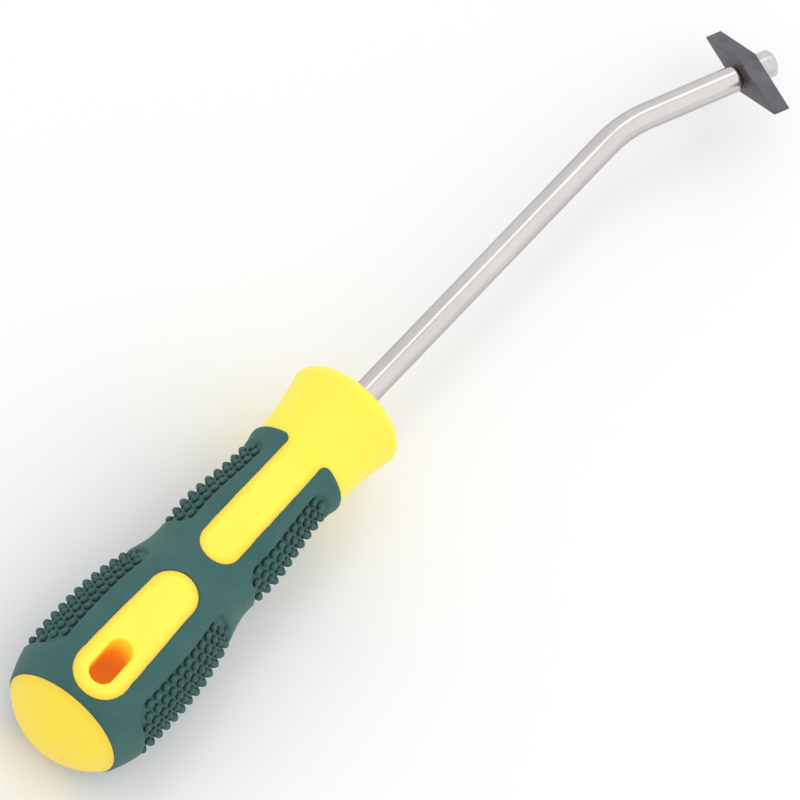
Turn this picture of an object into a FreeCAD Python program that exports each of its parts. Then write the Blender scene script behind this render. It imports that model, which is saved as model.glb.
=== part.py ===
import FreeCAD, Part
import Sketcher
import math
import os
from FreeCAD import Rotation, Vector

# Hand scraper for tile joints: a bent round rod in a two-shot handle, with a rhombic
# hard-metal plate brazed across its far end.
#
# Frame: millimetres, +X from the butt of the handle towards the blade along the rod,
# +Z up, with the palm window facing up. The origin is the middle of the hanging slot,
# on the handle's axis. The rod leans a little towards -Y where it leaves the handle, and
# bends further towards -Y in the horizontal plane.
#
# Every "station" is a distance along the handle, counted from the tip of the domed butt.

DIMENSIONS = {
    # handle, along its length
    "butt_edge_station": 6.8,
    "shoulder_station": 12.7,
    "belly_station": 23.0,
    "palm_station": 36.7,
    "flank_station": 46.9,
    "waist_station": 55.2,
    "finger_belly_station": 63.7,
    "finger_taper_station": 76.7,
    "neck_station": 86.7,
    "sleeve_front_station": 90.2,
    "flare_station": 98.7,
    "rim_station": 106.7,
    "nose_station": 110.9,
    # handle, radius at those stations
    "butt_edge_radius": 14.4,
    "shoulder_radius": 16.5,
    "belly_radius": 17.5,
    "palm_radius": 16.9,
    "flank_radius": 14.8,
    "waist_radius": 12.9,
    "finger_belly_radius": 13.4,
    "finger_taper_radius": 12.3,
    "neck_radius": 11.65,
    "sleeve_front_radius": 11.85,
    "flare_radius": 12.55,
    "rim_radius": 14.05,
    "nose_edge_radius": 3.4,
    # soft sleeve over the hard core
    "sleeve_thickness": 2.2,
    "lip_height": 0.4,
    "sleeve_rise": 0.35,
    # palm window, finger strip and hanging slot
    "palm_window_rear_station": 9.0,
    "palm_window_front_station": 46.3,
    "palm_window_rear_radius": 6.8,
    "palm_window_front_radius": 5.9,
    "strip_rear_station": 54.0,
    "strip_rear_radius": 5.1,
    "strip_front_half_width": 4.8,
    "strip_corner_radius": 2.0,
    "hang_slot_rear_station": 12.4,
    "hang_slot_front_station": 24.2,
    "hang_slot_width": 6.0,
    "hang_slot_rounding": 0.7,
    "cutter_length": 45.0,
    # rod
    "rod_diameter": 6.0,
    "rod_lean": 1.17,
    "tang_station": 38.0,
    "wing_station": 46.0,
    "wing_length": 12.0,
    "wing_span": 9.0,
    "wing_thickness": 2.4,
    "bend_station": 204.9,
    "bend_radius": 32.0,
    "bend_angle": 21.2,
    "bend_to_blade": 30.2,
    "shoulder_rounding": 1.2,
    "tenon_diameter": 3.6,
    # blade, cap and braze
    "blade_long_diagonal": 29.1,
    "blade_short_diagonal": 9.8,
    "blade_thickness": 4.0,
    "blade_edge_break": 0.12,
    "blade_turn": 27.0,
    "braze_gap": 0.6,
    "braze_root_radius": 2.4,
    "braze_flare_radius": 3.0,
    "cap_diameter": 6.3,
    "cap_length": 4.4,
    "cap_chamfer": 0.6,
    "cap_floor": 1.0,
}

# Names of the stations that shape the side of the handle, from the butt to the collar rim.
OUTLINE = (
    "butt_edge", "shoulder", "belly", "palm", "flank", "waist",
    "finger_belly", "finger_taper", "neck", "sleeve_front", "flare", "rim",
)

doc = FreeCAD.newDocument("joint_scraper")
sheet = doc.addObject("Spreadsheet::Sheet", "Dimensions")
for row, (alias, value) in enumerate(DIMENSIONS.items(), start=1):
    sheet.set(f"A{row}", alias)
    sheet.set(f"B{row}", str(value))
    sheet.setAlias(f"B{row}", alias)
doc.recompute()


def dim(alias):
    """Read one driving dimension back from the sheet."""
    return float(getattr(sheet, alias))


def bind(item, **formulas):
    """Bind properties of an object to formulas over the sheet's dimensions."""
    for name, formula in formulas.items():
        item.setExpression(name, formula)


def ref(alias):
    """The way a formula names a driving dimension."""
    return f"Dimensions.{alias}"


slot_station = (dim("hang_slot_rear_station") + dim("hang_slot_front_station")) / 2


def at(station):
    """X coordinate of a station, because the origin is the hanging slot's middle."""
    return station - slot_station


# ---------------------------------------------------------------- handle outlines

def side_point(name, offset):
    """One point of the handle's side, in the XZ plane, moved outwards by an offset."""
    return Vector(at(dim(f"{name}_station")), 0, dim(f"{name}_radius") + offset)


def side_edge(first, last, offset=0.0, lip=0.0):
    """The handle's smooth side between two named stations, with a lip at the sleeve's front."""
    points = {name: side_point(name, offset) for name in OUTLINE}
    points["sleeve_front"] += Vector(0, 0, lip)
    curve = Part.BSplineCurve()
    curve.interpolate(list(points.values()))
    return curve.toShape(curve.parameter(points[first]), curve.parameter(points[last]))


def band_face(inner_offset, outer_offset, lip=0.0):
    """The half section of the sleeve's place, between two offsets from the handle's side."""
    outer = side_edge("butt_edge", "sleeve_front", outer_offset, lip)
    inner = side_edge("butt_edge", "sleeve_front", inner_offset)
    rear = Part.makeLine(inner.firstVertex(True).Point, outer.firstVertex(True).Point)
    front = Part.makeLine(outer.lastVertex(True).Point, inner.lastVertex(True).Point)
    return Part.Face(Part.Wire([rear, outer, front, inner]))


def core_face():
    """The half section of the hard core before the sleeve's place is taken out of it."""
    side = side_edge("butt_edge", "rim")
    butt_edge = side.firstVertex(True).Point
    rim = side.lastVertex(True).Point

    butt_tip = Vector(at(0), 0, 0)
    sag = butt_edge.x - butt_tip.x
    dome_radius = (butt_edge.z ** 2 + sag ** 2) / (2 * sag)
    half_way = math.asin(butt_edge.z / dome_radius) / 2
    dome_middle = Vector(
        butt_tip.x + dome_radius * (1 - math.cos(half_way)), 0, dome_radius * math.sin(half_way))
    dome = Part.Arc(butt_tip, dome_middle, butt_edge).toShape()

    # The rounded rim runs smoothly into a slightly domed nose, centred on the axis.
    rounding = dim("nose_edge_radius")
    centre = rim - Vector(0, 0, rounding)
    nose_tip = Vector(at(dim("nose_station")), 0, 0)
    reach = nose_tip.x - centre.x
    nose_radius = (centre.z ** 2 + reach ** 2 - rounding ** 2) / (2 * (reach - rounding))
    nose_centre = nose_tip - Vector(nose_radius, 0, 0)
    tangent = math.atan2(centre.z, nose_radius - reach)

    def on_circle(middle, radius, angle):
        return middle + Vector(math.cos(angle), 0, math.sin(angle)) * radius

    nose_edge = on_circle(centre, rounding, tangent)
    edge_middle = on_circle(centre, rounding, (math.pi / 2 + tangent) / 2)
    edge_arc = Part.Arc(rim, edge_middle, nose_edge).toShape()
    nose = Part.Arc(nose_edge, on_circle(nose_centre, nose_radius, tangent / 2), nose_tip).toShape()

    axis = Part.makeLine(nose_tip, butt_tip)
    return Part.Face(Part.Wire([dome, side, edge_arc, nose, axis]))


# ---------------------------------------------------------------- window outlines

def rounded_end(x, radius, side):
    """Half a circle that bulges towards -X (side -1) or +X (side +1), in the XY plane."""
    centre = Vector(x, 0, 0)
    across = Vector(0, radius, 0)
    along = Vector(side * radius, 0, 0)
    return Part.Arc(centre + across, centre + along, centre - across).toShape()


def palm_window_face():
    """A slot with round ends that narrows towards the front."""
    rear_radius = dim("palm_window_rear_radius")
    front_radius = dim("palm_window_front_radius")
    rear = rounded_end(at(dim("palm_window_rear_station")) + rear_radius, rear_radius, -1)
    front = rounded_end(at(dim("palm_window_front_station")) - front_radius, front_radius, 1)
    sides = [
        Part.makeLine(rear.firstVertex().Point, front.firstVertex().Point),
        Part.makeLine(rear.lastVertex().Point, front.lastVertex().Point),
    ]
    return Part.Face(Part.Wire(Part.__sortEdges__([rear, front] + sides)))


def strip_window_face():
    """A tongue with a round rear end that opens, past rounded corners, into the collar."""
    rear_radius = dim("strip_rear_radius")
    half_width = dim("strip_front_half_width")
    corner = dim("strip_corner_radius")
    front = at(dim("sleeve_front_station"))
    beyond = front + corner
    rear = rounded_end(at(dim("strip_rear_station")) + rear_radius, rear_radius, -1)
    edges = [rear]
    for side in (1, -1):
        start = Vector(rear.BoundBox.XMax, side * rear_radius, 0)
        straight_end = Vector(front - corner, side * half_width, 0)
        corner_centre = Vector(front - corner, side * (half_width + corner), 0)
        diagonal = Vector(math.sqrt(0.5), -side * math.sqrt(0.5), 0) * corner
        corner_end = Vector(front, side * (half_width + corner), 0)
        edges.append(Part.makeLine(start, straight_end))
        edges.append(Part.Arc(straight_end, corner_centre + diagonal, corner_end).toShape())
        edges.append(Part.makeLine(corner_end, Vector(beyond, corner_end.y, 0)))
    edges.append(Part.makeLine(
        Vector(beyond, half_width + corner, 0), Vector(beyond, -half_width - corner, 0)))
    return Part.Face(Part.Wire(Part.__sortEdges__(edges)))


def hang_slot_face():
    """A slot with round ends and straight sides."""
    radius = dim("hang_slot_width") / 2
    rear = rounded_end(at(dim("hang_slot_rear_station")) + radius, radius, -1)
    front = rounded_end(at(dim("hang_slot_front_station")) - radius, radius, 1)
    sides = [
        Part.makeLine(rear.firstVertex().Point, front.firstVertex().Point),
        Part.makeLine(rear.lastVertex().Point, front.lastVertex().Point),
    ]
    return Part.Face(Part.Wire(Part.__sortEdges__([rear, front] + sides)))


def flat_object(name, face):
    """A document object that holds a flat outline."""
    item = doc.addObject("Part::Feature", name)
    item.Shape = face
    return item


# ---------------------------------------------------------------- building blocks

def revolved(name, face):
    """A solid of revolution about the handle's axis."""
    item = doc.addObject("Part::Revolution", name)
    item.Source = flat_object(f"{name}_section", face)
    item.Axis = Vector(1, 0, 0)
    item.Angle = 360
    item.Solid = True
    return item


def upright_prism(name, face):
    """A prism along Z, longer than the handle is thick."""
    item = doc.addObject("Part::Extrusion", name)
    item.Base = flat_object(f"{name}_outline", face)
    item.DirMode = "Custom"
    item.Dir = Vector(0, 0, 1)
    item.Symmetric = True
    item.Solid = True
    bind(item, LengthFwd=ref("cutter_length"))
    return item


def cut(name, base, tool):
    item = doc.addObject("Part::Cut", name)
    item.Base = base
    item.Tool = tool
    return item


def fused(name, shapes):
    item = doc.addObject("Part::MultiFuse", name)
    item.Shapes = shapes
    item.Refine = True
    return item


def round_bar(name, diameter, length, base, direction):
    """A cylinder whose diameter and length are formulas."""
    item = doc.addObject("Part::Cylinder", name)
    bind(item, Radius=f"({diameter}) / 2", Height=length)
    item.Placement = FreeCAD.Placement(base, Rotation(Vector(0, 0, 1), direction))
    return item


# ---------------------------------------------------------------- rod

def in_plan(degrees):
    """A horizontal direction, turned from +X towards -Y."""
    turn = math.radians(degrees)
    return Vector(math.cos(turn), -math.sin(turn), 0)


# The rod sits slightly askew in the moulding, turned about the point where it leaves the nose.
along_rod = in_plan(dim("rod_lean"))
along_tip = in_plan(dim("rod_lean") + dim("bend_angle"))
tangent_length = dim("bend_radius") * math.tan(math.radians(dim("bend_angle") / 2))
TANGENT = f"{ref('bend_radius')} * tan({ref('bend_angle')} * 1 deg / 2)"


def on_rod(station):
    """A point of the rod's rear straight, which passes through the tip of the nose."""
    nose_tip = Vector(at(dim("nose_station")), 0, 0)
    return nose_tip + along_rod * (station - dim("nose_station"))


def beyond_bend(distance):
    """A point of the rod's far straight, at a distance from the corner of the bend."""
    return on_rod(dim("bend_station")) + along_tip * distance


def make_shaft():
    rear_straight = round_bar(
        "rear_straight", ref("rod_diameter"),
        f"{ref('bend_station')} - {ref('tang_station')} - {TANGENT}",
        on_rod(dim("tang_station")), along_rod)

    elbow = doc.addObject("Part::Torus", "elbow")
    bind(elbow, Radius1=ref("bend_radius"), Radius2=f"{ref('rod_diameter')} / 2",
         Angle3=ref("bend_angle"))
    to_centre = along_rod.cross(Vector(0, 0, 1)) * dim("bend_radius")
    elbow.Placement = FreeCAD.Placement(
        beyond_bend(0) - along_rod * tangent_length + to_centre,
        Rotation(Vector(0, 0, 1), 90 - dim("rod_lean") - dim("bend_angle")))

    far_bar = round_bar(
        "far_bar", ref("rod_diameter"),
        f"{ref('bend_to_blade')} - {ref('braze_gap')} - {TANGENT}",
        beyond_bend(tangent_length), along_tip)
    doc.recompute()
    far_straight = doc.addObject("Part::Fillet", "far_straight")
    far_straight.Base = far_bar
    rounding = dim("shoulder_rounding")
    far_straight.Edges = [(end_edge(far_bar.Shape, along_tip), rounding, rounding)]

    tenon = round_bar(
        "tenon", ref("tenon_diameter"),
        f"{ref('braze_gap')} + {ref('blade_thickness')} + {ref('cap_length')}"
        f" - {ref('cap_floor')} + {ref('rod_diameter')}",
        beyond_bend(dim("bend_to_blade") - dim("braze_gap") - dim("rod_diameter")), along_tip)

    wings = doc.addObject("Part::Box", "tang_wings")
    bind(wings, Length=ref("wing_length"), Width=ref("wing_span"), Height=ref("wing_thickness"))
    across = Vector(0, 0, 1).cross(along_rod)
    corner = across * (-dim("wing_span") / 2) - Vector(0, 0, dim("wing_thickness") / 2)
    wings.Placement = FreeCAD.Placement(
        on_rod(dim("wing_station")) + corner, Rotation(Vector(0, 0, 1), -dim("rod_lean")))
    return fused("shaft", [rear_straight, elbow, far_straight, tenon, wings])


def end_edge(shape, direction):
    """The number of the circular edge that lies furthest along a direction."""
    circles = [
        (edge.CenterOfMass.dot(direction), number)
        for number, edge in enumerate(shape.Edges, start=1)
        if isinstance(edge.Curve, Part.Circle)
    ]
    return max(circles)[1]


# ---------------------------------------------------------------- blade, cap and braze

def across_tip():
    """Placement rotation whose Z runs along the tip and whose X runs along the long diagonal."""
    in_bend_plane = along_tip.cross(Vector(0, 0, 1))
    turn = math.radians(dim("blade_turn"))
    long_diagonal = in_bend_plane * math.cos(turn) + Vector(0, 0, 1) * math.sin(turn)
    return Rotation(long_diagonal, along_tip.cross(long_diagonal), along_tip, "ZXY")


def origin_plane(body, role):
    return next(item for item in body.Origin.OriginFeatures if item.Role == role)


def make_blade():
    body = doc.addObject("PartDesign::Body", "scraper_blade")
    sketch = body.newObject("Sketcher::SketchObject", "rhombus")
    sketch.AttachmentSupport = [(origin_plane(body, "XY_Plane"), "")]
    sketch.MapMode = "FlatFace"
    half_long = dim("blade_long_diagonal") / 2
    half_short = dim("blade_short_diagonal") / 2
    corners = [
        Vector(half_long, 0, 0), Vector(0, half_short, 0),
        Vector(-half_long, 0, 0), Vector(0, -half_short, 0),
    ]
    for start, end in zip(corners, corners[1:] + corners[:1]):
        sketch.addGeometry(Part.LineSegment(start, end), False)
    from_origin = {
        "x_of_front": ("DistanceX", 0, f"{ref('blade_long_diagonal')} / 2"),
        "y_of_upper": ("DistanceY", 1, f"{ref('blade_short_diagonal')} / 2"),
        "x_of_rear": ("DistanceX", 2, f"-{ref('blade_long_diagonal')} / 2"),
        "y_of_lower": ("DistanceY", 3, f"-{ref('blade_short_diagonal')} / 2"),
    }
    for line in range(len(corners)):
        sketch.addConstraint(Sketcher.Constraint("Coincident", line, 2, (line + 1) % 4, 1))
    for name, (kind, line, formula) in from_origin.items():
        corner = corners[line]
        size = corner.x if kind == "DistanceX" else corner.y
        number = sketch.addConstraint(Sketcher.Constraint(kind, -1, 1, line, 1, size))
        sketch.renameConstraint(number, name)
        sketch.setExpression(f"Constraints.{name}", formula)
        axis = -1 if kind == "DistanceX" else -2
        sketch.addConstraint(Sketcher.Constraint("PointOnObject", line, 1, axis))

    pad = body.newObject("PartDesign::Pad", "plate")
    pad.Profile = sketch
    bind(pad, Length=ref("blade_thickness"))
    doc.recompute()

    edges = body.newObject("PartDesign::Chamfer", "broken_edges")
    edges.Base = (pad, [f"Edge{number}" for number in range(1, len(pad.Shape.Edges) + 1)])
    bind(edges, Size=ref("blade_edge_break"))
    doc.recompute()

    hole_sketch = body.newObject("Sketcher::SketchObject", "hole_outline")
    hole_sketch.AttachmentSupport = [(origin_plane(body, "XY_Plane"), "")]
    hole_sketch.MapMode = "FlatFace"
    hole_sketch.addGeometry(Part.Circle(Vector(), Vector(0, 0, 1), dim("tenon_diameter") / 2), False)
    hole_sketch.addConstraint(Sketcher.Constraint("Coincident", 0, 3, -1, 1))
    diameter = hole_sketch.addConstraint(
        Sketcher.Constraint("Diameter", 0, dim("tenon_diameter")))
    hole_sketch.renameConstraint(diameter, "hole_diameter")
    hole_sketch.setExpression("Constraints.hole_diameter", ref("tenon_diameter"))
    hole = body.newObject("PartDesign::Pocket", "tenon_hole")
    hole.Profile = hole_sketch
    hole.Type = "ThroughAll"
    hole.Midplane = True
    body.Placement = FreeCAD.Placement(beyond_bend(dim("bend_to_blade")), across_tip())
    return body


def make_cap():
    start = beyond_bend(dim("bend_to_blade") + dim("blade_thickness"))
    blank = round_bar("cap_blank", ref("cap_diameter"), ref("cap_length"), start, along_tip)
    socket = round_bar(
        "cap_socket", ref("tenon_diameter"), f"{ref('cap_length')} - {ref('cap_floor')}",
        start, along_tip)
    doc.recompute()
    chamfered = doc.addObject("Part::Chamfer", "cap_chamfered")
    chamfered.Base = blank
    size = dim("cap_chamfer")
    chamfered.Edges = [(end_edge(blank.Shape, along_tip), size, size)]
    return cut("end_cap", chamfered, socket)


def make_braze():
    start = beyond_bend(dim("bend_to_blade") - dim("braze_gap"))
    cone = doc.addObject("Part::Cone", "braze_cone")
    bind(cone, Radius1=ref("braze_root_radius"), Radius2=ref("braze_flare_radius"),
         Height=ref("braze_gap"))
    cone.Placement = FreeCAD.Placement(start, Rotation(Vector(0, 0, 1), along_tip))
    hole = round_bar("braze_hole", ref("tenon_diameter"), ref("braze_gap"), start, along_tip)
    return cut("braze_collar", cone, hole)


# ---------------------------------------------------------------- handle

def make_sleeve(windows):
    """The soft sleeve stands a little proud of the hard core, with a lip at the front."""
    section = band_face(-dim("sleeve_thickness"), dim("sleeve_rise"), dim("lip_height"))
    band = revolved("sleeve_band", section)
    return cut("grip_sleeve", band, windows)


def make_core(windows, shaft):
    """The hard core fills the windows as raised islands and holds the rod's tang."""
    space = revolved(
        "sleeve_space", band_face(-dim("sleeve_thickness"), dim("sleeve_rise") + dim("lip_height")))
    space_with_islands = cut("sleeve_space_with_islands", space, windows)
    solid_core = revolved("solid_core", core_face())
    recessed = cut("core_recessed", solid_core, space_with_islands)
    slotted = cut("core_slotted", recessed, upright_prism("hang_slot", hang_slot_face()))
    doc.recompute()
    softened = rounded_edges(
        "core_softened", slotted, slot_mouth_edges(slotted.Shape), "hang_slot_rounding")
    return cut("handle_core", softened, shaft)


def rounded_edges(name, base, numbers, radius_alias):
    """Rounds the numbered edges of a solid."""
    item = doc.addObject("Part::Fillet", name)
    item.Base = base
    radius = dim(radius_alias)
    item.Edges = [(number, radius, radius) for number in numbers]
    return item


def slot_mouth_edges(shape):
    """Numbers of the edges around the hanging slot's two mouths."""
    tolerance = 0.01
    half_length = (dim("hang_slot_front_station") - dim("hang_slot_rear_station")) / 2 + tolerance
    half_width = dim("hang_slot_width") / 2 + tolerance
    mouth = []
    for number, edge in enumerate(shape.Edges, start=1):
        box = edge.BoundBox
        in_length = max(-box.XMin, box.XMax) < half_length
        in_width = max(-box.YMin, box.YMax) < half_width
        upright = box.ZLength > dim("hang_slot_width")
        if in_length and in_width and not upright:
            mouth.append(number)
    return mouth


windows = fused("windows", [
    upright_prism("palm_window", palm_window_face()),
    upright_prism("strip_window", strip_window_face()),
])
shaft = make_shaft()
parts = [
    make_core(windows, shaft),
    make_sleeve(windows),
    shaft,
    make_blade(),
    make_cap(),
    make_braze(),
]
doc.recompute()

for item in doc.Objects:
    if "Invalid" in item.State or "Error" in item.State:
        raise RuntimeError(f"{item.Name} did not compute: {item.State}")
for item in parts:
    item.Label = item.Name
    if item.Shape.isNull() or not item.Shape.isValid() or len(item.Shape.Solids) != 1:
        raise RuntimeError(f"{item.Label} is not one valid solid")

os.makedirs("parts", exist_ok=True)
for item in parts:
    item.Shape.exportStep(f"parts/{item.Label}.step")
    print(item.Label, round(item.Shape.Volume), item.Shape.BoundBox)
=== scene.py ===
import math

import bmesh
import bpy
import numpy as np
from mathutils import Matrix, Vector


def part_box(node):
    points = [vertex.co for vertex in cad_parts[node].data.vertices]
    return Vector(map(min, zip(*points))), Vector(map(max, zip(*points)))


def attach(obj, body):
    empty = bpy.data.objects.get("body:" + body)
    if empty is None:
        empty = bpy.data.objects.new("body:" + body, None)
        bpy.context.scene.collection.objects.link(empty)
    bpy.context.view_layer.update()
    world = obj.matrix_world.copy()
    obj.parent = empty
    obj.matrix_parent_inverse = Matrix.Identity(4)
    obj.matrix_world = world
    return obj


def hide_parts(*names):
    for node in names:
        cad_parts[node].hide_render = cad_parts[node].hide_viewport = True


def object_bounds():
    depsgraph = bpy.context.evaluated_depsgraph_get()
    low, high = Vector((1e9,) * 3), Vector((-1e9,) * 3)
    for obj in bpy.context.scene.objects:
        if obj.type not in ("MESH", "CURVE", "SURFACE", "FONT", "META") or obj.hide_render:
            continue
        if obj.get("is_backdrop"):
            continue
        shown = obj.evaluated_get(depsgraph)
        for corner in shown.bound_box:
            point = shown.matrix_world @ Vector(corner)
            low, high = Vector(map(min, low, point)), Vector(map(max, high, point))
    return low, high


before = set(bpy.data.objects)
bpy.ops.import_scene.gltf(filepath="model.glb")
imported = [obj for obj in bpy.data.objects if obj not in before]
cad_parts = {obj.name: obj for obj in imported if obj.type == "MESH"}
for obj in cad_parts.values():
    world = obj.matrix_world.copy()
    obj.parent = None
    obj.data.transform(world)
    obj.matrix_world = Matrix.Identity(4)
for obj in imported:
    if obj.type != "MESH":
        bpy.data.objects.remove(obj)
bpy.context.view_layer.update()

# A hand scraper for tile joints, in metres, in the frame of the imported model: +X along the
# handle towards the blade, +Z up out of the palm window, origin in the hanging slot.
# The soft sleeve is rebuilt here with its rounded edges and fields of studs, and the other
# pieces keep their solid shapes and get full materials.
MM = 0.001


# ---------------------------------------------------------------- sizes of the soft sleeve

SLEEVE_LOW, SLEEVE_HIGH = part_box("grip_sleeve")
BLADE_LOW, BLADE_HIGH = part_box("scraper_blade")

# Stations: distances in millimetres from the tip of the domed butt.
SLEEVE_REAR = 6.8
SLEEVE_FRONT = 90.2
COLLAR_RIM = 106.7
ROD_BEND = 204.9

# The handle's side as (station, radius), in millimetres.
SIDE_OUTLINE = (
    (SLEEVE_REAR, 14.4), (12.7, 16.5), (23.0, 17.5), (36.7, 16.9), (46.9, 14.8), (55.2, 12.9),
    (63.7, 13.4), (76.7, 12.3), (86.7, 11.65), (SLEEVE_FRONT, 11.85), (98.7, 12.55),
    (COLLAR_RIM, 14.05),
)
SLEEVE_THICKNESS = 2.2
SLEEVE_RISE = 0.35
LIP_HEIGHT = 0.4
LIP_LENGTH = 3.6
END_ROUNDING = 0.8
WALL_ROUNDING = 0.55
WALL_SPREAD = 0.15
THINNEST = 0.02


def along(station):
    """X in metres of a station in millimetres."""
    return SLEEVE_LOW.x - SLEEVE_REAR * MM + station * MM


class SmoothSide:
    """Natural cubic spline of radius over station, through the outline's points."""

    def __init__(self, points):
        self.x = np.array([p[0] for p in points])
        self.y = np.array([p[1] for p in points])
        gap = np.diff(self.x)
        slope = np.diff(self.y) / gap
        count = len(points)
        system = np.zeros((count, count))
        right = np.zeros(count)
        system[0, 0] = system[-1, -1] = 1
        for i in range(1, count - 1):
            system[i, i - 1: i + 2] = gap[i - 1], 2 * (gap[i - 1] + gap[i]), gap[i]
            right[i] = 6 * (slope[i] - slope[i - 1])
        self.bend = np.linalg.solve(system, right)

    def __call__(self, station):
        station = np.asarray(station, float)
        i = np.clip(np.searchsorted(self.x, station) - 1, 0, len(self.x) - 2)
        gap = self.x[i + 1] - self.x[i]
        a = (self.x[i + 1] - station) / gap
        b = 1 - a
        curved = ((a ** 3 - a) * self.bend[i] + (b ** 3 - b) * self.bend[i + 1]) * gap ** 2 / 6
        return a * self.y[i] + b * self.y[i + 1] + curved


side_radius = SmoothSide(SIDE_OUTLINE)


def sleeve_radius(station):
    """The sleeve stands a little proud of the hard core."""
    return side_radius(station) + SLEEVE_RISE


# ---------------------------------------------------------------- windows and stud fields

PALM_WINDOW = {"rear": 9.0, "front": 46.3, "rear_radius": 6.8, "front_radius": 5.9}
STRIP = {
    "rear": 54.0, "rear_radius": 5.1, "front_half_width": 4.8, "front": SLEEVE_FRONT,
    "corner": 2.0,
}
HANGING_SLOT = {"rear": 12.4, "front": 24.2, "rear_radius": 3.0, "front_radius": 3.0}


def palm_window_distance(station, across):
    """Signed distance to the palm window's outline in plan, negative inside the window."""
    r0, r1 = PALM_WINDOW["rear_radius"], PALM_WINDOW["front_radius"]
    c0 = PALM_WINDOW["rear"] + r0
    length = PALM_WINDOW["front"] - r1 - c0
    along_window = np.asarray(station) - c0
    side = np.abs(across)
    lean = (r0 - r1) / length
    upright = math.sqrt(1 - lean ** 2)
    reach = along_window * upright - side * lean
    to_rear = np.hypot(along_window, side) - r0
    to_front = np.hypot(along_window - length, side) - r1
    to_side = along_window * lean + side * upright - r0
    return np.where(reach < 0, to_rear, np.where(reach > length * upright, to_front, to_side))


def strip_distance(station, across):
    """Signed distance to the finger strip's outline in plan, negative inside the strip."""
    centre = STRIP["rear"] + STRIP["rear_radius"]
    station = np.asarray(station)
    side = np.abs(across)
    share = np.clip((station - centre) / (STRIP["front"] - centre), 0, 1)
    half_width = STRIP["rear_radius"] + share * (STRIP["front_half_width"] - STRIP["rear_radius"])
    into_corner = np.clip(station - (STRIP["front"] - STRIP["corner"]), 0, STRIP["corner"])
    half_width = half_width + STRIP["corner"] - np.sqrt(STRIP["corner"] ** 2 - into_corner ** 2)
    to_rear = np.hypot(station - centre, side) - STRIP["rear_radius"]
    return np.where(station < centre, to_rear, side - half_width)


STUD_RADIUS = 1.02
STUD_HEIGHT = 1.15
STUD_FOOT = 0.2
STUD_PITCH = 2.686
STUD_SEGMENTS = 12
STUD_RINGS = 5
FIELD_BORDER = 0.35
FIELD_CORNER = 3.2
FIELD_EDGE = 0.9
FIELD_DEPTH = 0.85
FIELD_MIDDLE = 90
FAR_AWAY = 90.0


def smooth_step(t):
    t = np.clip(t, 0, 1)
    return t * t * (3 - 2 * t)


class StudField:
    """Staggered rows of studs in a shallow recess that wraps round one side of the handle."""

    def __init__(self, rear, front, row_step, row_count, short_outer_rows, side):
        self.rear, self.front = rear, front
        self.row_step, self.row_count = row_step, row_count
        self.short_outer_rows, self.side = short_outer_rows, side

    def studs(self):
        """(station, angle in degrees from the palm window's normal) of each stud."""
        middle = (self.row_count - 1) / 2
        for row in range(self.row_count):
            angle = FIELD_MIDDLE + (row - middle) * self.row_step
            shortened = self.short_outer_rows and row in (0, self.row_count - 1)
            inset = STUD_PITCH if shortened else 0.0
            staggered = (row + self.row_count) % 2 == 0
            start = self.rear + (STUD_PITCH / 2 if staggered else 0.0) + inset
            count = int((self.front - inset - start) / STUD_PITCH) + 1
            for place in range(count):
                yield start + place * STUD_PITCH, self.side * angle

    def recess(self, station, degrees):
        """How deep the recess is at a place, from 0 on the border to 1 inside."""
        reach = (self.row_count - 1) / 2 * self.row_step
        middle = (self.rear + self.front) / 2
        past_rows = np.abs(np.abs(degrees) - FIELD_MIDDLE) - reach
        past_rows = np.where(np.sign(degrees) == self.side, past_rows, FAR_AWAY)
        across = past_rows * math.pi / 180 * sleeve_radius(middle)
        lengthways = np.abs(station - middle) - (self.front - self.rear) / 2
        margin = STUD_RADIUS + FIELD_BORDER
        dx = np.maximum(lengthways - margin + FIELD_CORNER, 0)
        dy = np.maximum(across - margin + FIELD_CORNER, 0)
        outside = np.hypot(dx, dy) - FIELD_CORNER
        inside = np.minimum(np.maximum(lengthways - margin, across - margin), 0)
        distance = np.where(outside > -FIELD_CORNER, outside, inside)
        return smooth_step((FIELD_EDGE / 2 - distance) / FIELD_EDGE)


# A rear field's outer rows start and end one stud further in.
FIELDS = [
    StudField(*extent, side)
    for side in (1, -1)
    for extent in ((15.9, 45.6, 9.0, 11, True), (59.9, 84.5, 12.2, 8, False))
]


# ---------------------------------------------------------------- mesh of the soft sleeve

# Spacing of the grid's rings, in millimetres: fine where a window's end or corner curves.
FINE, MEDIUM, COARSE = 0.27, 0.6, 0.8
RING_STOPS = [
    (SLEEVE_REAR + END_ROUNDING, FINE), (15.5, MEDIUM), (40.0, FINE), (47.0, COARSE),
    (53.4, FINE), (58.8, MEDIUM), (87.5, FINE), (SLEEVE_FRONT - END_ROUNDING, None)]
END_ARC_POINTS = 5
# Spacing of its columns, in degrees: fine over the windows, coarser over the sides.
COLUMN_STOPS = [(0, 0.95), (31, 2.0), (149, 0.95), (180, None)]


def spaced(stops):
    """Values from stop to stop, given as (value, spacing up to the next stop)."""
    values = []
    for (start, spacing), (end, _) in zip(stops, stops[1:]):
        count = max(1, round((end - start) / spacing))
        values.extend(start + (end - start) * np.arange(count) / count)
    values.append(stops[-1][0])
    return np.array(values)


def sleeve_rows():
    """(station, drop below the side) of each ring of the sleeve's outer face, butt to collar."""
    turn = np.radians(np.linspace(0, 90, END_ARC_POINTS))
    inward = [END_ROUNDING * (1 - math.sin(angle)) for angle in turn]
    drop = [END_ROUNDING * (1 - math.cos(angle)) for angle in turn]
    rear_arc = [(SLEEVE_REAR + step, fall) for step, fall in zip(inward, drop)][::-1]
    front_arc = [(SLEEVE_FRONT - step, fall) for step, fall in zip(inward, drop)]
    middle = [(station, 0.0) for station in spaced(RING_STOPS)[1:-1]]
    return rear_arc + middle + front_arc


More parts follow.
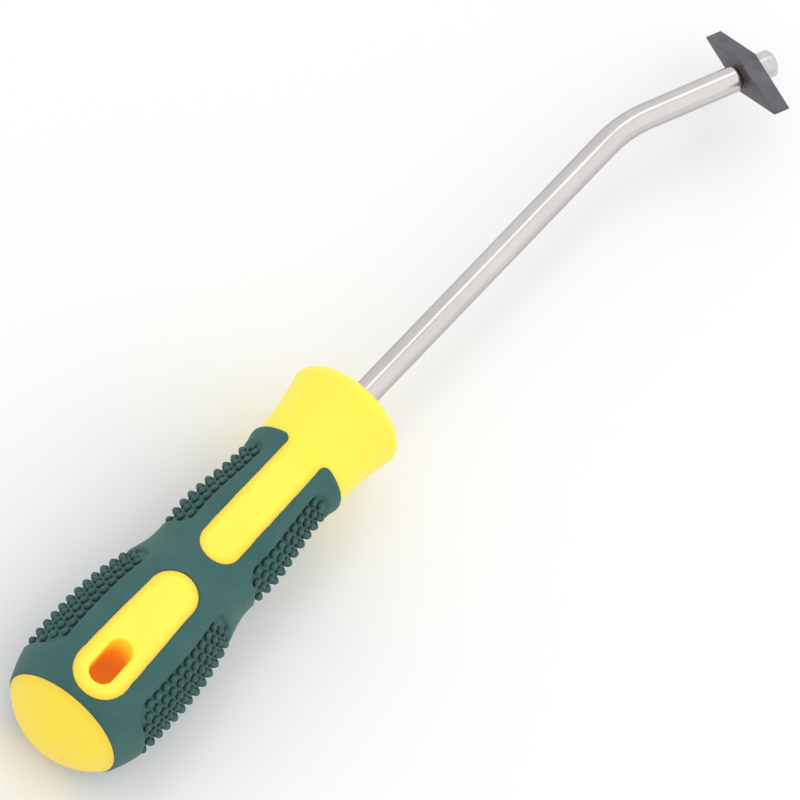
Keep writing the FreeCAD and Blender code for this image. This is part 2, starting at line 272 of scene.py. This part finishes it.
def sleeve_angles():
    """Angles of the grid's columns, in degrees from the palm window's normal, +Y positive."""
    half = spaced(COLUMN_STOPS)
    return np.concatenate([half, -half[-2:0:-1]])


def outer_radius(station, degrees, drop):
    """Radius in millimetres of the sleeve's outer face, with windows, recesses and lip."""
    nominal = sleeve_radius(station)
    lip_start = SLEEVE_FRONT - LIP_LENGTH
    lip = LIP_HEIGHT * smooth_step((station - lip_start) / (LIP_LENGTH - END_ROUNDING))
    radius = nominal + lip - drop
    for field in FIELDS:
        radius = radius - FIELD_DEPTH * field.recess(station, degrees)
    across = nominal * np.sin(np.radians(degrees))
    gap = np.minimum(palm_window_distance(station, across), strip_distance(station, across))
    into = np.clip(WALL_ROUNDING - gap, 0, WALL_ROUNDING)
    rounding = WALL_ROUNDING - np.sqrt(WALL_ROUNDING ** 2 - into ** 2)
    below = np.clip(-gap, 0, None) / WALL_SPREAD
    return radius - rounding - below * SLEEVE_THICKNESS


def closed_cells(closed):
    """Cells whose four nodes are all closed, each marked at its first node."""
    cell = closed & np.roll(closed, -1, 1)
    cell[:-1] &= cell[1:]
    cell[-1] = False
    return cell


def cut_away(closed):
    """The closed nodes, less those that would leave an edge shared by four faces."""
    while True:
        cell = closed_cells(closed)
        beside = np.roll(cell, 1, 1)
        behind = np.concatenate([np.zeros_like(cell[:1]), cell[:-1]])
        touches_cell = cell | beside | behind | np.roll(behind, 1, 1)
        # An edge between closed nodes needs a closed cell on one side of it.
        bare = closed & np.roll(closed, -1, 1) & ~(cell | behind)
        bare[:-1] |= closed[:-1] & closed[1:] & ~(cell | beside)[:-1]
        kept = closed & touches_cell & ~bare
        if kept.sum() == closed.sum():
            return kept
        closed = kept


def ring_points(radius, station, degrees):
    """Grid nodes in metres at a radius in millimetres."""
    turn = np.radians(degrees)
    x = np.broadcast_to(along(station), turn.shape)
    points = np.stack([x, radius * MM * np.sin(turn), radius * MM * np.cos(turn)], -1)
    return points.reshape(-1, 3)


def wall_faces(closed, outer_numbers, inner_numbers):
    """Outer and inner faces of every grid cell that isn't wholly inside a window."""
    rows, columns = closed.shape
    for i in range(rows - 1):
        for j in range(columns):
            k = (j + 1) % columns
            corners = [(i, j), (i, k), (i + 1, k), (i + 1, j)]
            standing = [n for n, corner in enumerate(corners) if not closed[corner]]
            if not standing:
                continue
            if len(standing) == 1:
                # Only the half beside the one standing corner has any thickness.
                n = standing[0]
                corners = [corners[n - 1], corners[n], corners[(n + 1) % 4]]
            yield tuple(outer_numbers[corner] for corner in corners)
            yield tuple(inner_numbers[corner] for corner in reversed(corners))


def end_faces(closed, outer_numbers, inner_numbers):
    """Faces that join the outer and the inner side at the sleeve's two ends."""
    rows, columns = closed.shape
    for i, flip in ((0, False), (rows - 1, True)):
        for j in range(columns):
            k = (j + 1) % columns
            if closed[i, j] and closed[i, k]:
                continue
            wall = (outer_numbers[i, j], inner_numbers[i, j],
                    inner_numbers[i, k], outer_numbers[i, k])
            yield wall[::-1] if flip else wall


def sleeve_shell():
    """Points and faces of the sleeve without its studs."""
    rows = sleeve_rows()
    station = np.array([row[0] for row in rows])[:, None]
    drop = np.array([row[1] for row in rows])[:, None]
    angles = sleeve_angles()
    degrees = np.broadcast_to(angles, (len(rows), len(angles)))
    inner = np.broadcast_to(side_radius(station) - SLEEVE_THICKNESS, degrees.shape)
    outer = np.maximum(outer_radius(station, degrees, drop), inner)
    closed = cut_away(outer <= inner + THINNEST)
    outer = np.where(closed, inner, np.maximum(outer, inner + 2 * THINNEST))
    points = np.concatenate(
        [ring_points(outer, station, degrees), ring_points(inner, station, degrees)])
    # Inside a window the two sides share their nodes.
    outer_numbers = np.arange(outer.size).reshape(outer.shape)
    inner_numbers = np.where(closed, outer_numbers, outer_numbers + outer.size)
    faces = list(wall_faces(closed, outer_numbers, inner_numbers))
    faces += end_faces(closed, outer_numbers, inner_numbers)
    return points, [tuple(dict.fromkeys(face)) for face in faces]


def without_spares(points, faces):
    """The mesh without the points that no face uses, and without faces of no area."""
    used = np.unique(np.concatenate([np.array(face) for face in faces]))
    renumbered = np.full(len(points), -1)
    renumbered[used] = np.arange(len(used))
    renumbered = renumbered.tolist()
    faces = [[renumbered[number] for number in face] for face in faces if len(face) >= 3]
    return points[used], faces


def make_sleeve():
    points, faces = sleeve_shell()
    stud_points, stud_faces = stud_domes(len(points))
    points, faces = without_spares(np.concatenate([points, stud_points]), faces + stud_faces)
    mesh = bpy.data.meshes.new("grip_sleeve_moulded")
    mesh.from_pydata(points.tolist(), [], faces)
    bm = bmesh.new()
    bm.from_mesh(mesh)
    bmesh.ops.recalc_face_normals(bm, faces=bm.faces)
    bm.to_mesh(mesh)
    bm.free()
    mesh.polygons.foreach_set("use_smooth", np.ones(len(mesh.polygons), bool))
    piece = bpy.data.objects.new("grip_sleeve_moulded", mesh)
    bpy.context.collection.objects.link(piece)
    return piece


def dome(segments, rings):
    """Points and faces of a closed half ball of radius 1, domed towards +Z."""
    points = [(0, 0, 1)]
    for ring in range(1, rings + 1):
        polar = math.pi / 2 * ring / rings
        for segment in range(segments):
            turn = 2 * math.pi * segment / segments
            points.append((math.sin(polar) * math.cos(turn), math.sin(polar) * math.sin(turn),
                           math.cos(polar)))
    faces = [tuple(reversed(range(len(points) - segments, len(points))))]
    for segment in range(segments):
        k = (segment + 1) % segments
        faces.append((0, 1 + segment, 1 + k))
        for ring in range(rings - 1):
            upper, lower = 1 + ring * segments, 1 + (ring + 1) * segments
            faces.append((upper + segment, lower + segment, lower + k, upper + k))
    return np.array(points, float), faces


def stud_domes(first_number):
    """Each stud as a small closed dome whose foot is sunk into its field's recess."""
    shape, shape_faces = dome(STUD_SEGMENTS, STUD_RINGS)
    points, faces = [], []
    for field in FIELDS:
        for station, degrees in field.studs():
            turn = math.radians(degrees)
            radius = sleeve_radius(station) - FIELD_DEPTH - STUD_FOOT
            slope = sleeve_radius(station + 0.5) - sleeve_radius(station - 0.5)
            outward = Vector((-slope, math.sin(turn), math.cos(turn))).normalized()
            lengthways = Vector((1, slope * math.sin(turn), slope * math.cos(turn))).normalized()
            axes = np.array([lengthways * STUD_RADIUS, outward.cross(lengthways) * STUD_RADIUS,
                             outward * (STUD_HEIGHT + STUD_FOOT)]) * MM
            base = np.array([along(station), radius * MM * math.sin(turn),
                             radius * MM * math.cos(turn)])
            start = first_number + len(points) * len(shape)
            points.append(base + shape @ axes)
            faces += [tuple(start + number for number in face) for face in shape_faces]
    return np.concatenate(points), faces


# ---------------------------------------------------------------- materials

def new_material(name):
    material = bpy.data.materials.new(name)
    material.use_nodes = True
    nodes = material.node_tree.nodes
    return material, nodes, material.node_tree.links, nodes["Principled BSDF"]


def noise(nodes, links, vector, scale, detail=4.0, roughness=0.55):
    node = nodes.new("ShaderNodeTexNoise")
    node.inputs["Scale"].default_value = scale
    node.inputs["Detail"].default_value = detail
    node.inputs["Roughness"].default_value = roughness
    links.new(vector, node.inputs["Vector"])
    return node.outputs["Fac"]


def ramp(nodes, links, value, stops):
    node = nodes.new("ShaderNodeValToRGB")
    node.color_ramp.elements[0].position, node.color_ramp.elements[0].color = stops[0]
    node.color_ramp.elements[1].position, node.color_ramp.elements[1].color = stops[-1]
    for position, color in stops[1:-1]:
        node.color_ramp.elements.new(position).color = color
    links.new(value, node.inputs["Fac"])
    return node.outputs["Color"]


# Nearly all of a noise texture lies between these values.
NOISE_LOW, NOISE_HIGH = 0.3, 0.7


def grey(value):
    return (value, value, value, 1)


def spread(nodes, links, value, low, high):
    """Maps a noise pattern to a range, such as of roughness."""
    node = nodes.new("ShaderNodeMapRange")
    node.inputs["From Min"].default_value = NOISE_LOW
    node.inputs["From Max"].default_value = NOISE_HIGH
    node.inputs["To Min"].default_value = low
    node.inputs["To Max"].default_value = high
    links.new(value, node.inputs["Value"])
    return node.outputs["Result"]


def bump(nodes, links, shader, height, strength, distance):
    node = nodes.new("ShaderNodeBump")
    node.inputs["Strength"].default_value = strength
    node.inputs["Distance"].default_value = distance
    links.new(height, node.inputs["Height"])
    links.new(node.outputs["Normal"], shader.inputs["Normal"])


def place(nodes):
    return nodes.new("ShaderNodeTexCoord").outputs["Object"]


def maths(nodes, links, operation, first, second=None, third=None):
    """One arithmetic node; the inputs are numbers or other nodes' outputs."""
    node = nodes.new("ShaderNodeMath")
    node.operation = operation
    for number, value in enumerate((first, second, third)):
        if isinstance(value, (int, float)):
            node.inputs[number].default_value = value
        elif value is not None:
            links.new(value, node.inputs[number])
    return node.outputs[0]


def fade(nodes, links, value, full, none):
    """1 where value is at full or beyond, falling smoothly to 0 at none."""
    node = nodes.new("ShaderNodeMapRange")
    node.interpolation_type = "SMOOTHSTEP"
    node.inputs["From Min"].default_value = none
    node.inputs["From Max"].default_value = full
    links.new(value, node.inputs["Value"])
    return node.outputs["Result"]


def slot_distance(nodes, links, x, y, slot):
    """Distance in metres from a round-ended slot's outline in plan, positive inside it."""
    rear_radius, front_radius = slot["rear_radius"], slot["front_radius"]
    start, end = along(slot["rear"] + rear_radius), along(slot["front"] - front_radius)
    share = maths(nodes, links, "DIVIDE", maths(nodes, links, "SUBTRACT", x, start), end - start)
    share = maths(nodes, links, "MINIMUM", maths(nodes, links, "MAXIMUM", share, 0.0), 1.0)
    nearest = maths(nodes, links, "MULTIPLY_ADD", share, end - start, start)
    off = maths(nodes, links, "SUBTRACT", x, nearest)
    reach = maths(nodes, links, "SQRT", maths(
        nodes, links, "ADD", maths(nodes, links, "MULTIPLY", off, off),
        maths(nodes, links, "MULTIPLY", y, y)))
    radius = maths(
        nodes, links, "MULTIPLY_ADD", share, (front_radius - rear_radius) * MM, rear_radius * MM)
    return maths(nodes, links, "SUBTRACT", radius, reach)


# The finger strip carried on past the collar, so that only its sides get the painted edge shade.
LONG_STRIP = {"rear": 54.0, "front": 130.0, "rear_radius": 5.1, "front_radius": 4.45}
BETWEEN_WINDOWS = (48.0, 50.0)
# Where the painted shade along the window edges ends, how far it reaches, and how strong the
# painted shade is.
SHADE_END_AT_COLLAR = (86.0, 90.0)
SHADE_REACH = 0.0019
SHADE_STRENGTH = 0.55
# Painted shade over the domed butt: its strength and where it starts and ends.
BUTT_SHADE = 0.62
BUTT_SHADE_REACH = 3.2
BUTT_SHADE_EDGE = (7.6, 6.9)
SLOT_SOFTNESS = 0.0010
SLOT_DEPTH = 17.5


def mixed_colour(nodes, links, share, first, second):
    """The first colour blended towards the second; the second is an output or a colour."""
    node = nodes.new("ShaderNodeMix")
    node.data_type = "RGBA"
    links.new(share, node.inputs["Factor"])
    links.new(first, node.inputs["A"])
    if isinstance(second, tuple):
        node.inputs["B"].default_value = second
    else:
        links.new(second, node.inputs["B"])
    return node.outputs["Result"]


def window_edge_painted_shade(nodes, links, x, y, off_butt):
    """Painted shade: 1 along the edges of the windows, down to 0 inside them."""
    in_palm = fade(nodes, links, x, along(BETWEEN_WINDOWS[0]), along(BETWEEN_WINDOWS[1]))
    edge = nodes.new("ShaderNodeMix")
    links.new(in_palm, edge.inputs["Factor"])
    links.new(slot_distance(nodes, links, x, y, LONG_STRIP), edge.inputs["A"])
    links.new(slot_distance(nodes, links, x, y, PALM_WINDOW), edge.inputs["B"])
    tint = fade(nodes, links, edge.outputs["Result"], 0.0, SHADE_REACH)
    behind_collar = fade(
        nodes, links, x, along(SHADE_END_AT_COLLAR[0]), along(SHADE_END_AT_COLLAR[1]))
    tint = maths(nodes, links, "MULTIPLY", tint, behind_collar)
    return maths(nodes, links, "MULTIPLY", tint, off_butt)


def butt_painted_shade(nodes, links, x, off_butt):
    """Painted shade over the domed butt: even over it and stronger towards its edge, 0 elsewhere.
    """
    on_butt = maths(nodes, links, "SUBTRACT", 1.0, off_butt)
    ring = fade(nodes, links, x, along(BUTT_SHADE_EDGE[1]), along(BUTT_SHADE_REACH))
    ring = maths(nodes, links, "MULTIPLY", ring, on_butt)
    even = maths(nodes, links, "MULTIPLY", on_butt, BUTT_SHADE)
    return maths(nodes, links, "MAXIMUM", ring, even)


def yellow_plastic():
    """Slightly see-through plastic, with painted shade: darker orange deep in the hanging slot,
    along the window edges and over the domed butt.
    """
    material, nodes, links, shader = new_material("yellow_polypropylene")
    where = place(nodes)
    parts = nodes.new("ShaderNodeSeparateXYZ")
    links.new(where, parts.inputs["Vector"])
    x, y = parts.outputs["X"], parts.outputs["Y"]
    off_butt = fade(nodes, links, x, along(BUTT_SHADE_EDGE[0]), along(BUTT_SHADE_EDGE[1]))
    # Painted shade mask: darker orange along the window edges and over the domed butt.
    tint = maths(nodes, links, "MAXIMUM", window_edge_painted_shade(nodes, links, x, y, off_butt),
                 butt_painted_shade(nodes, links, x, off_butt))
    tint = maths(nodes, links, "MULTIPLY", tint, SHADE_STRENGTH)
    in_slot = fade(
        nodes, links, slot_distance(nodes, links, x, y, HANGING_SLOT), 0.0, -SLOT_SOFTNESS)
    height = maths(nodes, links, "DIVIDE", maths(nodes, links, "ABSOLUTE", parts.outputs["Z"]),
                   SLOT_DEPTH * MM)

    colour = ramp(nodes, links, noise(nodes, links, where, 55, 3), [
        (NOISE_LOW, (0.975, 0.83, 0.058, 1)), (NOISE_HIGH, (0.99, 0.86, 0.074, 1))])
    # Painted shade in the hanging slot: darker orange deep down, lighter towards its mouth.
    deep = ramp(nodes, links, height, [
        (0.0, (0.85, 0.34, 0.045, 1)), (0.6, (0.87, 0.37, 0.045, 1)), (1.0, (0.98, 0.76, 0.06, 1))])
    # The painted shade's darker orange is mixed into the plastic's own colour here.
    tinted = mixed_colour(nodes, links, tint, colour, (0.97, 0.52, 0.028, 1))
    links.new(mixed_colour(nodes, links, in_slot, tinted, deep), shader.inputs["Base Color"])
    links.new(spread(nodes, links, noise(nodes, links, where, 420, 3), 0.36, 0.48),
              shader.inputs["Roughness"])
    shader.inputs["Subsurface Weight"].default_value = 0.2
    shader.inputs["Subsurface Radius"].default_value = (1.0, 0.45, 0.05)
    shader.inputs["Subsurface Scale"].default_value = 0.003
    shader.inputs["IOR"].default_value = 1.49
    bump(nodes, links, shader, noise(nodes, links, where, 2600, 2), 0.10, 0.0002)
    # A weak glow in the slot stands in for the light that passes through the plastic.
    glow = ramp(nodes, links, height, [
        (0.0, (0.15, 0.055, 0.010, 1)), (0.45, (0.16, 0.062, 0.005, 1)),
        (0.75, (0.26, 0.19, 0.005, 1)), (1.0, (0.20, 0.20, 0.01, 1))])
    links.new(glow, shader.inputs["Emission Color"])
    links.new(in_slot, shader.inputs["Emission Strength"])
    return material


# Painted shade between the studs: how far the occlusion looks, and the occlusion at which the
# painted shade starts and is full.
GAP_REACH = 0.0016
GAP_OPEN, GAP_CLOSED = 0.98, 0.45


def green_rubber():
    """Soft rubber with painted shade: its colour darkens down between the studs, where little light
    gets in.
    """
    material, nodes, links, shader = new_material("green_soft_rubber")
    where = place(nodes)
    cloud = noise(nodes, links, where, 120, 4)
    colour = ramp(nodes, links, cloud, [
        (NOISE_LOW, (0.032, 0.108, 0.098, 1)), (NOISE_HIGH, (0.042, 0.130, 0.120, 1))])
    # Painted shade: ambient occlusion darkens the colour to near-black teal between the studs.
    shade_occlusion = nodes.new("ShaderNodeAmbientOcclusion")
    shade_occlusion.inputs["Distance"].default_value = GAP_REACH
    openness = fade(nodes, links, shade_occlusion.outputs["AO"], GAP_OPEN, GAP_CLOSED)
    gap = nodes.new("ShaderNodeMix")
    gap.data_type = "RGBA"
    links.new(openness, gap.inputs["Factor"])
    gap.inputs["A"].default_value = (0.006, 0.030, 0.030, 1)
    links.new(colour, gap.inputs["B"])
    links.new(gap.outputs["Result"], shader.inputs["Base Color"])
    links.new(spread(nodes, links, noise(nodes, links, where, 900, 3), 0.55, 0.72),
              shader.inputs["Roughness"])
    shader.inputs["Specular IOR Level"].default_value = 0.3
    shader.inputs["Sheen Weight"].default_value = 0.04
    shader.inputs["Sheen Roughness"].default_value = 0.5
    bump(nodes, links, shader, noise(nodes, links, where, 3800, 3), 0.18, 0.0002)
    return material


ROD_LEAN = math.radians(1.17)
BEND_ANGLE = math.radians(21.2)
BEND_X = along(ROD_BEND)
BEND_BLEND = 0.004


def rod_direction(nodes, links):
    """Coordinates whose X runs along the rod, before and after its bend."""
    where = place(nodes)
    turned = nodes.new("ShaderNodeMapping")
    turned.vector_type = "TEXTURE"
    turned.inputs["Location"].default_value = (BEND_X, 0, 0)
    turned.inputs["Rotation"].default_value = (0, 0, -BEND_ANGLE - ROD_LEAN)
    links.new(where, turned.inputs["Vector"])
    parts = nodes.new("ShaderNodeSeparateXYZ")
    links.new(where, parts.inputs["Vector"])
    step = nodes.new("ShaderNodeMapRange")
    step.inputs["From Min"].default_value = BEND_X - BEND_BLEND
    step.inputs["From Max"].default_value = BEND_X + BEND_BLEND
    links.new(parts.outputs["X"], step.inputs["Value"])
    mix = nodes.new("ShaderNodeMix")
    mix.data_type = "VECTOR"
    links.new(step.outputs["Result"], mix.inputs["Factor"])
    links.new(where, mix.inputs["A"])
    links.new(turned.outputs["Vector"], mix.inputs["B"])
    return mix.outputs["Result"]


def stretched(nodes, links, vector, scale):
    node = nodes.new("ShaderNodeMapping")
    node.inputs["Scale"].default_value = scale
    links.new(vector, node.inputs["Vector"])
    return node.outputs["Vector"]


def rod_steel():
    material, nodes, links, shader = new_material("drawn_steel_rod")
    lengthways = rod_direction(nodes, links)
    lines = noise(nodes, links, stretched(nodes, links, lengthways, (12, 1500, 1500)), 1, 3)
    patches = noise(nodes, links, stretched(nodes, links, lengthways, (60, 160, 160)), 1, 4)
    colour = ramp(nodes, links, patches, [
        (0.25, (0.565, 0.54, 0.53, 1)), (0.75, (0.64, 0.615, 0.605, 1))])
    links.new(colour, shader.inputs["Base Color"])
    shader.inputs["Metallic"].default_value = 1.0
    shader.inputs["Specular Tint"].default_value = (0.58, 0.58, 0.62, 1)
    links.new(spread(nodes, links, lines, 0.16, 0.28), shader.inputs["Roughness"])
    bump(nodes, links, shader, lines, 0.22, 0.0001)
    return material


def hard_metal():
    material, nodes, links, shader = new_material("sintered_hard_metal")
    where = place(nodes)
    grain = noise(nodes, links, where, 2400, 5, 0.7)
    stain = noise(nodes, links, where, 260, 4)
    colour = ramp(nodes, links, stain, [
        (NOISE_LOW, (0.098, 0.092, 0.106, 1)), (NOISE_HIGH, (0.150, 0.142, 0.160, 1))])
    links.new(colour, shader.inputs["Base Color"])
    shader.inputs["Metallic"].default_value = 0.55
    links.new(spread(nodes, links, grain, 0.42, 0.62), shader.inputs["Roughness"])
    bump(nodes, links, shader, grain, 0.3, 0.00015)
    return material


def cap_steel():
    material, nodes, links, shader = new_material("turned_steel_cap")
    where = place(nodes)
    marks = noise(nodes, links, stretched(nodes, links, where, (900, 500, 900)), 1, 3)
    colour = ramp(nodes, links, noise(nodes, links, where, 500, 3), [
        (NOISE_LOW, (0.50, 0.485, 0.47, 1)), (NOISE_HIGH, (0.66, 0.645, 0.63, 1))])
    links.new(colour, shader.inputs["Base Color"])
    shader.inputs["Metallic"].default_value = 1.0
    links.new(spread(nodes, links, marks, 0.26, 0.42), shader.inputs["Roughness"])
    bump(nodes, links, shader, marks, 0.15, 0.0001)
    return material


def braze_metal():
    material, nodes, links, shader = new_material("heat_tinted_braze")
    where = place(nodes)
    tint = noise(nodes, links, where, 700, 4)
    colour = ramp(nodes, links, tint, [
        (NOISE_LOW, (0.05, 0.035, 0.025, 1)), (0.55, (0.09, 0.068, 0.046, 1)),
        (0.75, (0.14, 0.115, 0.08, 1))])
    links.new(colour, shader.inputs["Base Color"])
    shader.inputs["Metallic"].default_value = 0.8
    links.new(spread(nodes, links, tint, 0.4, 0.6), shader.inputs["Roughness"])
    bump(nodes, links, shader, noise(nodes, links, where, 1800, 3), 0.4, 0.0002)
    return material


# ---------------------------------------------------------------- pieces

def paint(piece, material):
    piece.data.materials.clear()
    piece.data.materials.append(material)


sleeve = make_sleeve()
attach(sleeve, "root")
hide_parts("grip_sleeve")
paint(sleeve, green_rubber())
for node, make in (
    ("handle_core", yellow_plastic), ("shaft", rod_steel), ("scraper_blade", hard_metal),
    ("end_cap", cap_steel), ("braze_collar", braze_metal),
):
    material = make()
    for material_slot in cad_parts[node].material_slots:
        material_slot.material = material


# ---------------------------------------------------------------- floor, light and camera

FLOOR_REACH = 6.0


def studio_floor():
    low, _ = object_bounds()
    mesh = bpy.data.meshes.new("studio_floor")
    signs = ((-1, -1), (1, -1), (1, 1), (-1, 1))
    corners = [(FLOOR_REACH * x, FLOOR_REACH * y, low.z) for x, y in signs]
    mesh.from_pydata(corners, [], [(0, 1, 2, 3)])
    floor = bpy.data.objects.new("studio_floor", mesh)
    bpy.context.collection.objects.link(floor)
    material, nodes, links, shader = new_material("pale_floor")
    tone = ramp(nodes, links, noise(nodes, links, place(nodes), 3, 2), [
        (NOISE_LOW, grey(0.90)), (NOISE_HIGH, grey(0.92))])
    links.new(tone, shader.inputs["Base Color"])
    shader.inputs["Roughness"].default_value = 0.9
    paint(floor, material)
    floor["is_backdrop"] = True


# The view: the handle's axis leans away from the picture by VIEW_TILT, the window is turned
# by VIEW_ROLL about that axis, and the axis stands at AXIS_ANGLE in the picture. The picture
# is PICTURE_WIDTH metres wide, and the collar's rim lies RIM_RIGHT and RIM_UP of its middle.
VIEW_TILT = math.radians(25.0)
VIEW_ROLL = math.radians(4.3)
AXIS_ANGLE = math.radians(47.4)
PICTURE_WIDTH = 0.17544
FOCAL_LENGTH = 1400.0
SENSOR = 36.0
CLIP_NEAR, CLIP_FAR = 0.01, 50
RIM_X = along(COLLAR_RIM)
RIM_RIGHT = -0.01238
RIM_UP = -0.00380
LIT_STATION = 120
KEY_POWER = 4.6
GLEAM_POWER = 1.5
WORLD_STRENGTH = 0.98


def view_axes():
    """Right, up and forward of the camera in the model's frame."""
    c, s = math.cos(VIEW_TILT), math.sin(VIEW_TILT)
    cr, sr = math.cos(VIEW_ROLL), math.sin(VIEW_ROLL)
    forward = Vector((s, sr * c, -c * cr))
    along_axis = Vector((c, -sr * s, s * cr))
    across_axis = Vector((0, -cr, -sr))
    ca, sa = math.cos(AXIS_ANGLE), math.sin(AXIS_ANGLE)
    right = along_axis * ca + across_axis * sa
    up = along_axis * sa - across_axis * ca
    return right, up, forward


def studio_camera():
    right, up, forward = view_axes()
    data = bpy.data.cameras.new("camera")
    data.lens = FOCAL_LENGTH
    data.sensor_width = SENSOR
    distance = FOCAL_LENGTH / SENSOR * PICTURE_WIDTH
    camera = bpy.data.objects.new("camera", data)
    bpy.context.collection.objects.link(camera)
    centre = Vector((RIM_X, 0, 0)) - right * RIM_RIGHT - up * RIM_UP
    turn = Matrix((right, up, -forward)).transposed().to_4x4()
    camera.matrix_world = Matrix.Translation(centre - forward * distance) @ turn
    data.clip_start, data.clip_end = CLIP_NEAR, CLIP_FAR
    bpy.context.scene.camera = camera


def softbox(name, turn, distance, length, width, power, target):
    """A lamp panel whose gleam lies on the rod where its surface turns by half the turn.

    The panel's length runs along the rod. Positive turns are towards -Y.
    """
    tilt, roll = math.sin(VIEW_TILT), math.cos(VIEW_TILT)
    facing = Vector((0, -math.sin(VIEW_ROLL), math.cos(VIEW_ROLL)))
    across = Vector((0, -math.cos(VIEW_ROLL), -math.sin(VIEW_ROLL)))
    turn = math.radians(turn)
    direction = Vector((tilt, 0, 0)) + roll * (facing * math.cos(turn) + across * math.sin(turn))
    data = bpy.data.lights.new(name, "AREA")
    data.shape = "RECTANGLE"
    data.size, data.size_y = length, width
    data.energy = power
    lamp = bpy.data.objects.new(name, data)
    bpy.context.collection.objects.link(lamp)
    widthways = direction.cross(Vector((1, 0, 0))).normalized()
    lengthways = widthways.cross(direction)
    axes = Matrix((lengthways, widthways, direction)).transposed().to_4x4()
    lamp.matrix_world = Matrix.Translation(target + direction * distance) @ axes


def studio_light():
    """A large soft panel beyond the tool and a narrower one for the line along the rod."""
    target = Vector((along(LIT_STATION), 0, 0))
    softbox("key", turn=38, distance=1.6, length=2.6, width=2.4, power=KEY_POWER, target=target)
    softbox("gleam", turn=-25, distance=1.3, length=1.4, width=0.3, power=GLEAM_POWER,
            target=target)
    world = bpy.data.worlds.new("studio")
    bpy.context.scene.world = world
    world.use_nodes = True
    world.node_tree.nodes["Background"].inputs["Color"].default_value = (1, 1, 1, 1)
    world.node_tree.nodes["Background"].inputs["Strength"].default_value = WORLD_STRENGTH


studio_floor()
studio_camera()
studio_light()
bpy.context.scene.view_settings.view_transform = "Standard"
bpy.context.view_layer.update()
